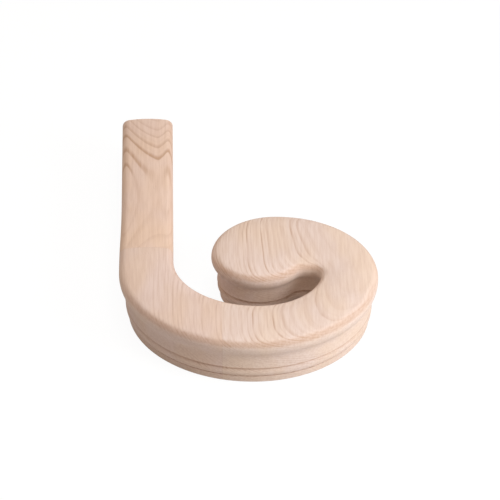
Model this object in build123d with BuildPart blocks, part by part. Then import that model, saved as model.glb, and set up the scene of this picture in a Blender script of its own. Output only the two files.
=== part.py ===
from build123d import *
import math
import os

# Right-hand level handrail volute, in millimetres, +Z up.
# The origin is at the centre of the round eye on the flat underside, where a
# newel post meets it. The straight shank runs away along +Y on the -X side.
# From its near end the rail curls round a level spiral into the eye.

# Cross-section of the rail. A depth is measured in from the rail's widest line.
rail_width = 57.2
rail_height = 58.5
crown_drop = 10.5
shoulder_radius = 9.0
waist_height = 30.5
waist_depth = 7.3
lip_height = 19.7
lip_depth = 6.3
quirk_height = 0.8
bead_top_depth = 9.0
bead_foot_height = 8.4
bead_foot_depth = 9.2
bead_swell = 2.4
groove_height = 1.0
groove_depth = 1.3
base_depth = 9.5
base_ease = 0.8

# Plan of the rail. The outer edge flares a little at the end of the shank, then
# follows quarter turns, and the last one is the eye's front. It runs into the
# throat, whose square end is set forward of the eye's centre.
shank_length = 294.0
flare_width = 2.0
flare_length = 130.0
outer_radii = [145.5, 135.5, 110.0, 70.5, 53.0, 51.0]
inner_start = 21.5
inner_radii = [91.5, 70.0]
throat_setting = 31.0
throat_radius = 12.0

# Joints between the blocks that the blank was glued up from: how far the first
# lies up the shank, and the second lies across from the shank's centre line.
stub_joint = 35.0
scroll_joint = 80.0

# Wood left round the blank for the moulding cutter, and the cutter's own reach.
blank_margin = 3.0
cutter_margin = 6.0

half_width = rail_width / 2
widest_height = rail_height - crown_drop


def spiral_centres(start, radii):
    """Centres of quarter turns that run on from each other, the first one due east of its start."""
    centre = start + Vector(radii[0], 0)
    centres = [centre]
    for turn, (radius, next_radius) in enumerate(zip(radii, radii[1:]), start=1):
        heading = math.radians(180 + 90 * turn)
        centre += Vector(math.cos(heading), math.sin(heading)) * (radius - next_radius)
        centres.append(centre)
    return centres


def bearing(start, end):
    """Compass angle from one point to another, in degrees round from +X."""
    return math.degrees(math.atan2(end.Y - start.Y, end.X - start.X))


# The fifth quarter turn of the outer edge is the eye's left side, and its centre
# is the origin. The turn starts at the near end of the shank's outer edge.
turn_start = -spiral_centres(Vector(0, 0), outer_radii)[4]
turn_y = turn_start.Y
shank_x = turn_start.X + flare_width + half_width
shank_left = shank_x - half_width
shank_right = shank_x + half_width
shank_end = turn_y + shank_length
flare_y = turn_y + flare_length
inner_y = turn_y + inner_start

outer_centres = spiral_centres(turn_start, outer_radii)
inner_centres = spiral_centres(Vector(shank_right, inner_y), inner_radii)

# Both corners of the throat have the same radius. One touches the eye's front
# from outside, and the other touches the rail's inner edge from inside. The
# bearings at which they touch are where the eye's and the rail's edges stop.
throat_end = -throat_setting
corner_y = throat_end - throat_radius
eye_front = outer_centres[-1]
eye_reach = outer_radii[-1] + throat_radius
eye_corner = Vector(eye_front.X + math.sqrt(eye_reach**2 - (corner_y - eye_front.Y) ** 2), corner_y)
rail_side = inner_centres[-1]
rail_reach = inner_radii[-1] - throat_radius
rail_corner = Vector(rail_side.X + math.sqrt(rail_reach**2 - (corner_y - rail_side.Y) ** 2), corner_y)
eye_stop = bearing(eye_front, eye_corner)
rail_stop = bearing(rail_side, rail_corner)

flare_turn = 2 * math.degrees(math.atan2(flare_width, flare_length))
flare_radius = flare_length / 2 / math.sin(math.radians(flare_turn))
flare_away = Vector(shank_left - flare_radius, flare_y)
flare_back = turn_start + Vector(flare_radius, 0)

# The edge of the rail in plan is a chain of arcs and straight runs. Each arc
# holds its centre, its radius, the angle it starts at, the angle it turns
# through, and 1 where the wood lies inside its circle or -1 where it lies outside.
arcs = [
    (flare_away, flare_radius, -flare_turn, flare_turn, -1),
    (flare_back, flare_radius, 180 - flare_turn, flare_turn, 1),
]
for turn, (centre, radius) in enumerate(zip(outer_centres, outer_radii)):
    start = 180 + 90 * turn
    last = turn == len(outer_radii) - 1
    arcs.append((centre, radius, start, (eye_stop - start) % 360 if last else 90, 1))
arcs.append((eye_corner, throat_radius, 90, eye_stop + 90, -1))
arcs.append((rail_corner, throat_radius, rail_stop, 90 - rail_stop, -1))
for turn, (centre, radius) in enumerate(zip(inner_centres, inner_radii)):
    start = 180 + 90 * turn
    last = turn == len(inner_radii) - 1
    arcs.append((centre, radius, start, (rail_stop - start) % 360 if last else 90, -1))

# A straight run holds its start, the way into the wood from it, and its length.
# It goes off with the wood on its left, and the cutter runs on past the far end.
cutter_end = shank_end + cutter_margin
runs = [
    (Vector(shank_left, cutter_end), Vector(1, 0), cutter_end - flare_y),
    (Vector(shank_right, inner_y), Vector(-1, 0), cutter_end - inner_y),
    (Vector(eye_corner.X, throat_end), Vector(0, 1), rail_corner.X - eye_corner.X),
]

# The waste is what the moulding cutter takes off one side of the rail. It is
# drawn with X as the depth in from the widest line and Y as the height.
crown_rise = crown_drop - shoulder_radius
crown_run = half_width - shoulder_radius
crown_radius = (crown_run**2 + crown_drop**2 - shoulder_radius**2) / (2 * crown_rise)
crown_turn = math.degrees(math.atan2(crown_run, crown_radius - crown_drop))
ogee_height = widest_height - waist_height
ogee_turn = 2 * math.degrees(math.atan2(waist_depth, ogee_height))
ogee_radius = ogee_height / 2 / math.sin(math.radians(ogee_turn))

with BuildSketch() as waste:
    with BuildLine():
        crown = CenterArc(
            (half_width, rail_height - crown_radius), crown_radius, 90, crown_turn
        )
        shoulder = JernArc(crown @ 1, crown % 1, shoulder_radius, 90 - crown_turn)
        ogee = JernArc(shoulder @ 1, (0, -1), ogee_radius, ogee_turn)
        cove = JernArc(ogee @ 1, ogee % 1, ogee_radius, -ogee_turn)
        cove_lip = TangentArc(cove @ 1, (lip_depth, lip_height), tangent=(0, -1))
        quirk = Line(cove_lip @ 1, (bead_top_depth, lip_height - quirk_height))
        bead = SagittaArc(quirk @ 1, (bead_foot_depth, bead_foot_height), -bead_swell)
        Polyline(
            bead @ 1,
            (bead_foot_depth + groove_depth, bead_foot_height - groove_height / 2),
            (base_depth, bead_foot_height - groove_height),
            (base_depth, base_ease),
            (base_depth + base_ease, 0),
            (base_depth + base_ease, -cutter_margin),
            (-cutter_margin, -cutter_margin),
            (-cutter_margin, rail_height + cutter_margin),
            (half_width, rail_height + cutter_margin),
            crown @ 0,
        )
    make_face()

# The blank is sawn a little outside the finished edge, then the moulding is run
# along each straight run and round each arc of the edge.
upward = Vector(0, 0, 1)

with BuildPart() as volute:
    with BuildSketch():
        with BuildLine():
            Polyline(
                (shank_left - blank_margin, flare_y),
                (shank_left - blank_margin, shank_end),
                (shank_right + blank_margin, shank_end),
                (shank_right + blank_margin, inner_y),
            )
            Line(
                (eye_corner.X, throat_end - blank_margin),
                (rail_corner.X, throat_end - blank_margin),
            )
            for centre, radius, start, turn, side in arcs:
                CenterArc((centre.X, centre.Y), radius + side * blank_margin, start, turn)
        make_face()
    extrude(amount=rail_height)

    for start, inward, length in runs:
        with BuildSketch(Plane(start, inward, inward.cross(upward))):
            add(waste.sketch)
        extrude(amount=length, mode=Mode.SUBTRACT)

    for centre, radius, start, turn, side in arcs:
        outward = Vector(1, 0, 0).rotate(Axis.Z, start)
        inward = outward * -side
        with BuildSketch(Plane(centre + outward * radius, inward, inward.cross(upward))):
            add(waste.sketch)
        revolve(
            axis=Axis((centre.X, centre.Y, 0), (0, 0, 1)),
            revolution_arc=turn,
            mode=Mode.SUBTRACT,
        )

# The side of the scroll joint with the shank on it. The plane of the joint also
# passes through the eye, which is whole, so the eye's tip is left out here.
with BuildPart() as shank_side:
    add(volute.part)
    split(bisect_by=Plane.YZ.offset(shank_x + scroll_joint), keep=Keep.BOTTOM)
glued_up = shank_side.solids().sort_by(SortBy.VOLUME)[-1]

with BuildPart() as rail_stub:
    add(glued_up)
    split(bisect_by=Plane.XZ.offset(-turn_y - stub_joint), keep=Keep.BOTTOM)

with BuildPart() as turn_block:
    add(glued_up)
    split(bisect_by=Plane.XZ.offset(-turn_y - stub_joint), keep=Keep.TOP)

with BuildPart() as scroll_block:
    add(volute.part)
    add(glued_up, mode=Mode.SUBTRACT)

rail_stub.part.label = "rail_stub"
turn_block.part.label = "turn_block"
scroll_block.part.label = "scroll_block"

os.makedirs("parts", exist_ok=True)
export_step(rail_stub.part, "parts/rail_stub.step")
export_step(turn_block.part, "parts/turn_block.step")
export_step(scroll_block.part, "parts/scroll_block.step")
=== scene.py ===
import math

import bpy
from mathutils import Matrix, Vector


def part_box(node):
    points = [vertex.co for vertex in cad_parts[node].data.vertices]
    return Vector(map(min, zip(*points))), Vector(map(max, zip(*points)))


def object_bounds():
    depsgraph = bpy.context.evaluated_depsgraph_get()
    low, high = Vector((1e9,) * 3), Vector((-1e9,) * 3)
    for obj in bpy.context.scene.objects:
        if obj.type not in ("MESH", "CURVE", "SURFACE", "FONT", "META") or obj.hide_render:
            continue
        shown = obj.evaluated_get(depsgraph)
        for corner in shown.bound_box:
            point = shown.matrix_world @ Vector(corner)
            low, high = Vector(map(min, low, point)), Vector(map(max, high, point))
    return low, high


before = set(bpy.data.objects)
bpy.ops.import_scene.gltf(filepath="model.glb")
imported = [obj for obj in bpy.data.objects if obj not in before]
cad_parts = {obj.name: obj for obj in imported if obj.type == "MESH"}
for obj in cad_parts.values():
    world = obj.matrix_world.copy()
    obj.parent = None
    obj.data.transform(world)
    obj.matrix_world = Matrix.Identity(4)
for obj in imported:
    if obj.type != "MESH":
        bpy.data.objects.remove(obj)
cad_low, cad_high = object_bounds()

# The rail stub is the straight end that meets the next length of handrail. It is
# one flat-sawn block of bare pale hardwood, moulded on both sides and glued
# across its near end to the turn block.


class Shade:
    """A socket of a material, so that shader maths reads as plain expressions."""

    def __init__(self, tree, socket=None):
        self.tree = tree
        self.socket = socket

    def node(self, kind, settings, sockets, output=0):
        """Adds a node, sets it up, fills its sockets with values or links, and gives one output."""
        added = self.tree.nodes.new(kind)
        for name, value in settings.items():
            setattr(added, name, value)
        for name, value in sockets.items():
            if isinstance(value, Shade):
                self.tree.links.new(value.socket, added.inputs[name])
            else:
                added.inputs[name].default_value = value
        return None if output is None else Shade(self.tree, added.outputs[output])

    def other(self, output):
        """Another output of the same node."""
        return Shade(self.tree, self.socket.node.outputs[output])

    def maths(self, operation, first, second=0.0):
        """A Math node on one or two values."""
        return self.node("ShaderNodeMath", {"operation": operation}, {0: first, 1: second})

    def __add__(self, other):
        return self.maths("ADD", self, other)

    __radd__ = __add__

    def __sub__(self, other):
        return self.maths("SUBTRACT", self, other)

    def __rsub__(self, other):
        return self.maths("SUBTRACT", other, self)

    def __mul__(self, other):
        return self.maths("MULTIPLY", self, other)

    __rmul__ = __mul__

    def __truediv__(self, other):
        return self.maths("DIVIDE", self, other)

    def __pow__(self, power):
        return self.maths("POWER", self, power)

    def rise(self, start, end):
        """0 below start and 1 above end, with a smooth step between them."""
        return self.node(
            "ShaderNodeMapRange",
            {"interpolation_type": "SMOOTHSTEP"},
            {"Value": self, "From Min": start, "From Max": end},
        )

    def band(self, start, full, fading, end):
        """1 from full to fading, and 0 before start and after end, with smooth steps between."""
        return self.rise(start, full) * (1 - self.rise(fading, end))

    def lifted(self, least):
        """The same value, squeezed so that it goes from least to 1 instead of from 0 to 1."""
        return self * (1 - least) + least

    def blend(self, start, end):
        """A colour that goes from start to end as this value goes from 0 to 1."""
        return self.node("ShaderNodeMix", {"data_type": "RGBA"}, {0: self, 6: start, 7: end}, 2)


def warmer(colour):
    """A slightly yellower shade of a colour."""
    green_kept = 0.97
    blue_kept = 0.89
    red, green, blue, alpha = colour
    return (red, green * green_kept, blue * blue_kept, alpha)


def bare_wood(
    name, pale, dark, pith, bow, twist, ring, wander, bold, broken, seed, joints, flecks
):
    """Bare sanded wood from a round trunk. Its growth rings run round a pith that lies along the
    rail, so the lines on every face are where that face cuts the rings.

    pale, dark: the colours between the lines and on them.
    pith: the rings' centre, across the rail and above its underside.
    bow: a place along the rail, and how fast the rings fall away on both sides of it.
    twist: how far across the rail the rings begin and finish turning aside, and how much.
    ring: a year's usual growth.
    wander: how far a ring strays.
    bold: an axis, where on it the lines begin and finish changing, and their boldness on each side.
    broken: how far the pores break the lines up, from 0 to 1.
    seed: where the wood's noise begins.
    joints: for each glued face, its axis and its place on it.
    flecks: for each dark spot, its place and its size."""
    material = bpy.data.materials.new(name)
    material.use_nodes = True
    tree = material.node_tree
    tree.nodes.clear()
    shade = Shade(tree)
    place = shade.node("ShaderNodeTexCoord", {}, {}, "Object")
    x = shade.node("ShaderNodeSeparateXYZ", {}, {"Vector": place}, "X")
    y = x.other("Y")
    z = x.other("Z")
    facing = shade.node("ShaderNodeNewGeometry", {}, {}, "Normal")
    facing_up = shade.node("ShaderNodeSeparateXYZ", {}, {"Vector": facing}, "Z")
    facing_along = shade.maths("ABSOLUTE", facing_up.other("Y"))

    def streaks(across, along, detail):
        """Soft noise from 0 to 1, with its fineness across the grain and along it, for each metre."""
        start = (seed, seed, seed)
        stretch = (across, along, across)
        drawn_out = shade.node(
            "ShaderNodeMapping", {}, {"Vector": place, "Location": start, "Scale": stretch}
        )
        sockets = {"Vector": drawn_out, "Scale": 1.0, "Detail": detail}
        return shade.node("ShaderNodeTexNoise", {}, sockets)

    def unevenness(count, detail):
        """Noise from 0 to 1 that changes only from ring to ring."""
        return shade.node(
            "ShaderNodeTexNoise",
            {"noise_dimensions": "1D"},
            {"W": count + seed, "Scale": 1.0, "Detail": detail},
        )

    # How many years out from the pith a place lies, with every year's growth alike.
    pith_x, pith_z = pith
    bow_y, bow_rate = bow
    twist_start, twist_end, twist_rate = twist
    ripple = 0.0005
    noise_middle = 0.5
    past_bow = y - bow_y
    sideways = x - pith_x
    upward = z - pith_z - past_bow * past_bow * bow_rate
    reach = (sideways * sideways + upward * upward) ** 0.5
    strayed = (streaks(across=18.0, along=6.0, detail=1.0) - noise_middle) * wander
    rippled = (streaks(across=90.0, along=9.0, detail=2.0) - noise_middle) * ripple
    turned = x.rise(twist_start, twist_end) * y * twist_rate
    even_years = (reach + strayed + rippled + turned) / ring

    # Growth is faster in some years than in others. Each year ends in a line of dark late growth,
    # which stands out more in some years, and false rings come in between.
    growth_pace = 0.4
    good_pace = 0.23
    false_pace = 2.2
    late_part = (0.50, 0.86, 0.88, 1.0)
    years = even_years + unevenness(even_years * growth_pace, detail=1.0)
    year = shade.maths("FRACT", years)
    strength = shade.node(
        "ShaderNodeTexWhiteNoise",
        {"noise_dimensions": "1D"},
        {"W": shade.maths("FLOOR", years)},
        "Value",
    )
    good_years = unevenness(even_years * good_pace, detail=0.0).rise(0.36, 0.62).lifted(0.25)
    late_growth = year.band(*late_part) * strength.lifted(0.5) * good_years
    false_rings = unevenness(even_years * false_pace, detail=1.0).rise(0.50, 0.72)

    # Lines are bolder at one end of a block than at the other, and fainter on upright faces. Rows
    # of pores break them up.
    bold_axis, bold_start, bold_end, bold_before, bold_after = bold
    place_on_axis = x if bold_axis == "X" else y
    late_shade = 1.1
    false_shade = 0.45
    change = place_on_axis.rise(bold_start, bold_end)
    boldness = change * (bold_after - bold_before) + bold_before
    boldness = boldness * facing_up.rise(0.0, 0.3).lifted(0.5)
    dashes = streaks(across=260.0, along=16.0, detail=2.0).rise(0.34, 0.58)
    lines = (late_growth * late_shade + false_rings * broken * false_shade) * boldness
    lines = lines * (1 - (1 - dashes) * broken)

    # Fibres and pores show between the lines too.
    fibre_shade = 0.22
    pore_shade = 0.12
    fibres = streaks(across=480.0, along=26.0, detail=2.0).rise(0.34, 0.66)
    pores = streaks(across=1500.0, along=90.0, detail=1.0).rise(0.60, 0.74)

    # The rounded shoulders are darker where they slope, and darker still where they face along the
    # grain and so cut across the fibres.
    shoulder_shade = 0.20
    end_grain_shade = 0.35
    shoulder_foot = 0.042
    shoulder_edge = 0.047
    shoulder_slopes = (0.10, 0.50, 0.72, 1.0)
    shoulder = z.rise(shoulder_foot, shoulder_edge) * facing_up.band(*shoulder_slopes)
    shoulder_darkening = shoulder * (facing_along.rise(0.0, 0.45) * end_grain_shade + shoulder_shade)

    # The narrow quirk and groove are painted darker: painted shade for the shadow under the lip and
    # in the groove, and some browning from the moulding cutter. The square far end is sawn after the
    # moulding, and stays clean of it.
    quirk_shade = 0.8
    groove_shade = 0.3
    quirk_heights = (0.0176, 0.0186, 0.0199, 0.0206)
    groove_heights = (0.0070, 0.0074, 0.0084, 0.0088)
    clean_reach = 0.0004
    clean_core = 0.0001
    quirk = z.band(*quirk_heights)
    groove = z.band(*groove_heights)
    sawn_end = y.rise(cad_high.y - clean_reach, cad_high.y - clean_core)
    # painted shade in the quirk and groove, together with the cutter's browning
    recess_shade_and_burn = (quirk * quirk_shade + groove * groove_shade) * (1 - sawn_end)

    # A glued face shows as a thin darker line beside it.
    glue_reach = 0.0006
    glue_core = 0.0001
    glue_shade = 0.35
    figure = lines + fibres * fibre_shade + pores * pore_shade + shoulder_darkening + recess_shade_and_burn
    for axis, joint in joints:
        beside = x if axis == "X" else y
        figure = figure + beside.rise(joint - glue_reach, joint - glue_core) * glue_shade
    tone = streaks(across=30.0, along=12.0, detail=2.0).rise(0.30, 0.70)
    wood = tone.blend(figure.blend(pale, dark), figure.blend(warmer(pale), dark))

    fleck_brown = (0.25, 0.14, 0.09, 1.0)
    fleck_core = 0.3
    fleck_shade = 0.8
    for fleck, size in flecks:
        off = shade.node(
            "ShaderNodeVectorMath", {"operation": "DISTANCE"}, {0: place, 1: fleck}, "Value"
        )
        spot = (1 - off.rise(size * fleck_core, size)) * fleck_shade
        wood = spot.blend(wood, fleck_brown)

    # Sanding leaves the fibres a little proud and the pores open.
    fibre_height = 0.3
    pore_depth = 0.7
    relief = shade.node(
        "ShaderNodeBump",
        {},
        {
            "Strength": 0.4,
            "Distance": 0.0002,
            "Height": fibres * fibre_height - pores * pore_depth,
        },
    )
    surface = shade.node(
        "ShaderNodeBsdfPrincipled",
        {},
        {"Base Color": wood, "Roughness": 0.75, "Specular IOR Level": 0.3, "Normal": relief},
    )
    shade.node("ShaderNodeOutputMaterial", {}, {"Surface": surface}, None)
    return material


stub_wood = bare_wood(
    "stub_wood",
    pale=(0.80, 0.61, 0.52, 1.0),
    dark=(0.56, 0.36, 0.25, 1.0),
    pith=(-0.111, -0.007),
    bow=(0.105, 0.95),
    twist=(-0.113, -0.095, 0.0225),
    ring=0.0045,
    wander=0.0008,
    bold=("Y", 0.140, 0.172, 0.20, 0.95),
    broken=0.15,
    seed=1.3,
    joints=[],
    flecks=[((-0.1384, 0.008, 0.0565), 0.0016)],
)
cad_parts["rail_stub"].data.materials[0] = stub_wood

# The turn block carries the rail round its first quarter. It is the same wood,
# cut so that its rings slope through it and show as fine straight lines along
# the shank. They stop short at the glued joints with its neighbours.
turn_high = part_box("turn_block")[1]
turn_wood = bare_wood(
    "turn_wood",
    pale=(0.78, 0.615, 0.55, 1.0),
    dark=(0.56, 0.37, 0.28, 1.0),
    pith=(0.060, 0.210),
    bow=(0.0, 0.0),
    twist=(-0.15, -0.05, 0.0),
    ring=0.0030,
    wander=0.002,
    bold=("X", -0.130, -0.060, 0.20, 0.45),
    broken=0.7,
    seed=4.1,
    joints=[("Y", turn_high.y), ("X", turn_high.x)],
    flecks=[],
)
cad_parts["turn_block"].data.materials[0] = turn_wood

# The scroll block is the widest piece: the front of the rail, the right-hand
# turn, the throat and the eye. It is cut from under the heart of the tree, so
# its rings lie almost flat at the right and tip up towards the left.
scroll_wood = bare_wood(
    "scroll_wood",
    pale=(0.80, 0.65, 0.585, 1.0),
    dark=(0.57, 0.38, 0.28, 1.0),
    pith=(0.105, 0.290),
    bow=(0.0, 0.0),
    twist=(-0.03, 0.05, -0.045),
    ring=0.0024,
    wander=0.002,
    bold=("X", 0.045, 0.085, 0.72, 0.25),
    broken=0.6,
    seed=7.7,
    joints=[],
    flecks=[((0.0848, -0.020, 0.0570), 0.0016)],
)
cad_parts["scroll_block"].data.materials[0] = scroll_wood

# The rail lies on a plain floor that shows white and keeps a faint shadow. Soft
# light comes from a window at the right and a little in front, from the ceiling
# and, weaker and warmer, from all round.


def looked_at(shade):
    """1 for what the camera sees, directly or in gloss and through glass, and 0 for other light."""
    seen = shade.node("ShaderNodeLightPath", {}, {}, "Is Camera Ray")
    shown = seen + seen.other("Is Glossy Ray") + seen.other("Is Transmission Ray")
    return shade.maths("MINIMUM", shown, 1.0)


floor_size = 8.0
floor_grey = (0.6, 0.6, 0.6, 1.0)
floor_white = (1.0, 1.0, 1.0, 1.0)
glow_strength = 1.1
glow_share = 0.85
bpy.ops.mesh.primitive_plane_add(size=floor_size, location=(0, 0, cad_low.z))
floor = bpy.context.object
floor.name = "floor"
floor_paint = bpy.data.materials.new("floor_paint")
floor_paint.use_nodes = True
floor_paint.node_tree.nodes.clear()
shade = Shade(floor_paint.node_tree)
matt = shade.node("ShaderNodeBsdfDiffuse", {}, {"Color": floor_grey})
glow = shade.node("ShaderNodeEmission", {}, {"Color": floor_white, "Strength": glow_strength})
mixed = shade.node("ShaderNodeMixShader", {}, {0: looked_at(shade) * glow_share, 1: matt, 2: glow})
shade.node("ShaderNodeOutputMaterial", {}, {"Surface": mixed}, None)
floor.data.materials.append(floor_paint)

room_colour = (1.0, 0.88, 0.77, 1.0)
room_strength = 0.42
backdrop_white = (1.0, 1.0, 1.0, 1.0)
backdrop_strength = 1.0
world = bpy.data.worlds.new("studio")
world.use_nodes = True
world.node_tree.nodes.clear()
shade = Shade(world.node_tree)
room = shade.node("ShaderNodeBackground", {}, {"Color": room_colour, "Strength": room_strength})
backdrop = shade.node(
    "ShaderNodeBackground", {}, {"Color": backdrop_white, "Strength": backdrop_strength}
)
mixed = shade.node("ShaderNodeMixShader", {}, {0: looked_at(shade), 1: room, 2: backdrop})
shade.node("ShaderNodeOutputWorld", {}, {"Surface": mixed}, None)
bpy.context.scene.world = world

lamp_distance = 1.6
lamp_size = 0.9
for lamp_name, lamp_from, lamp_power, lamp_colour in (
    ("window", Vector((0.785, -0.453, 0.423)), 19.0, (0.94, 0.98, 1.0)),
    ("ceiling", Vector((0.0, -0.087, 0.996)), 9.0, (1.0, 1.0, 1.0)),
):
    lamp_data = bpy.data.lights.new(lamp_name, "AREA")
    lamp_data.energy = lamp_power
    lamp_data.color = lamp_colour
    lamp_data.size = lamp_size
    lamp = bpy.data.objects.new(lamp_name, lamp_data)
    bpy.context.scene.collection.objects.link(lamp)
    lamp.location = lamp_from * lamp_distance
    lamp.rotation_euler = (-lamp_from).to_track_quat("-Z", "Y").to_euler()

# The camera looks from far off through a long lens, a good third of the way up
# from level, and a hair to the left of square on to the front of the rail.
camera_azimuth = math.radians(1.04)
camera_elevation = math.radians(34.5)
camera_distance = 4.605
camera_target = Vector((-0.010, 0.0393, 0.030))
camera_data = bpy.data.cameras.new("camera")
camera_data.sensor_width = 36.0
camera_data.lens = 300.95
camera_data.clip_end = 50.0
camera = bpy.data.objects.new("camera", camera_data)
bpy.context.scene.collection.objects.link(camera)
look = Vector(
    (
        math.sin(camera_azimuth) * math.cos(camera_elevation),
        math.cos(camera_azimuth) * math.cos(camera_elevation),
        -math.sin(camera_elevation),
    )
)
camera.location = camera_target - look * camera_distance
camera.rotation_euler = look.to_track_quat("-Z", "Y").to_euler()
bpy.context.scene.camera = camera
bpy.context.scene.view_settings.view_transform = "Standard"
